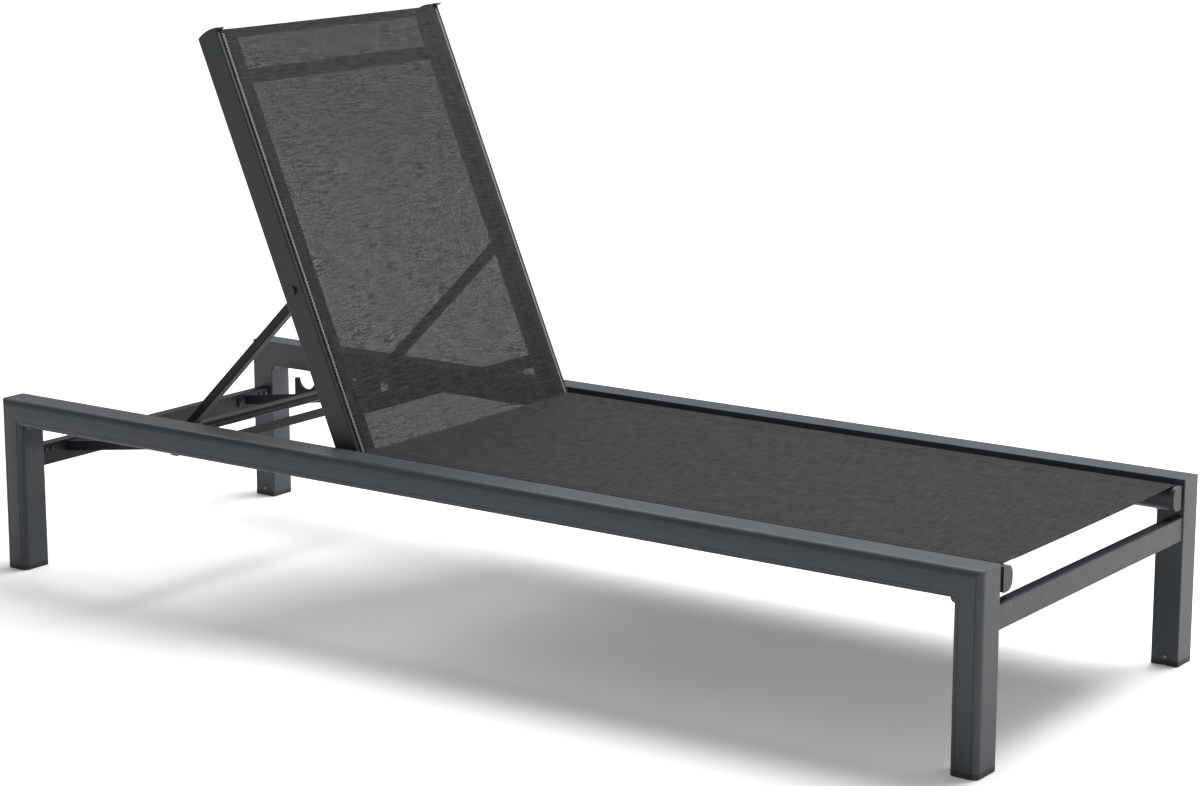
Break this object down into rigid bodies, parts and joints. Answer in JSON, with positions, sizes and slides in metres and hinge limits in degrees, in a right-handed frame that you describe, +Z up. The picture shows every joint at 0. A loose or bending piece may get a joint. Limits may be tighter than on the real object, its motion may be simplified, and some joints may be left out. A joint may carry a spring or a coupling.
{
  "type": "reclining sun lounger",
  "caption": "Low aluminium sun lounger with a stretched textile seat and a textile backrest that reclines on a notched prop.",
  "frame": {"origin": "on the ground, midway along and across the frame", "axes": "+X to the foot end, +Y to the left of someone lying on it, +Z up"},
  "size_m": [2, 0.734, 1.0036],
  "materials": {
    "powder_coat": "fine satin powder coat, dark grey",
    "sling_fabric": "woven coated textile, charcoal",
    "keder_plastic": "extruded cord, charcoal",
    "black_plastic": "moulded, fine matte grain",
    "fastener_steel": "stainless"
  },
  "bodies": {
    "base": {"foot_crossbar": "powder_coat", "head_crossbar": "powder_coat", "head_crossbar_bolts": "fastener_steel", "hinge_pins": "fastener_steel", "hinge_spacers": "black_plastic", "leg_cap_foot_left": "black_plastic", "leg_cap_foot_right": "black_plastic", "leg_cap_head_left": "black_plastic", "leg_cap_head_right": "black_plastic", "leg_cap_screws": "fastener_steel", "leg_foot_left": "powder_coat", "leg_foot_right": "powder_coat", "leg_head_left": "powder_coat", "leg_head_right": "powder_coat", "notch_plate_left": "powder_coat", "notch_plate_right": "powder_coat", "notch_tie_bar": "powder_coat", "rivet_nuts": "fastener_steel", "seat_crossbar_head": "powder_coat", "seat_crossbar_middle": "powder_coat", "seat_keder_left": "keder_plastic", "seat_keder_right": "keder_plastic", "seat_rail_bolts": "fastener_steel", "seat_rail_foot_cap_left": "black_plastic", "seat_rail_foot_cap_right": "black_plastic", "seat_rail_hinge_cap_left": "black_plastic", "seat_rail_hinge_cap_right": "black_plastic", "seat_rail_left": "powder_coat", "seat_rail_right": "powder_coat", "seat_rail_spacers": "black_plastic", "seat_sling": "sling_fabric", "side_rail_left": "powder_coat", "side_rail_right": "powder_coat", "tie_bar_hanger_left": "powder_coat", "tie_bar_hanger_right": "powder_coat", "tie_bar_screws": "fastener_steel"},
    "backrest": {"back_crossbar_lower": "powder_coat", "back_crossbar_upper": "powder_coat", "back_keder_left": "keder_plastic", "back_keder_right": "keder_plastic", "back_rail_hinge_cap_left": "black_plastic", "back_rail_hinge_cap_right": "black_plastic", "back_rail_left": "powder_coat", "back_rail_right": "powder_coat", "back_rail_top_cap_left": "black_plastic", "back_rail_top_cap_right": "black_plastic", "back_sling": "sling_fabric", "hinge_bushes": "black_plastic", "prop_pivot_bolts": "fastener_steel", "prop_washers": "black_plastic"},
    "prop": {"prop_arm_cap_left": "black_plastic", "prop_arm_cap_right": "black_plastic", "prop_arm_left": "powder_coat", "prop_arm_right": "powder_coat", "prop_rod": "powder_coat", "prop_rod_caps": "black_plastic"}
  },
  "joints": [
    {"name": "back_recline", "type": "hinge", "parent": "base", "child": "backrest", "pos_m": [-0.2336, 0, 0.2875], "axis": [0, -1, 0], "range_deg": [0, 66.8]},
    {"name": "prop_swing", "type": "hinge", "parent": "backrest", "child": "prop", "pos_m": [-0.35474, 0, 0.57014], "axis": [0, 1, 0], "range_deg": [0, 103.3]}
  ],
  "couplings": [
    {"joint": "prop_swing", "follows": "back_recline", "ratio": 1.5449}
  ]
}
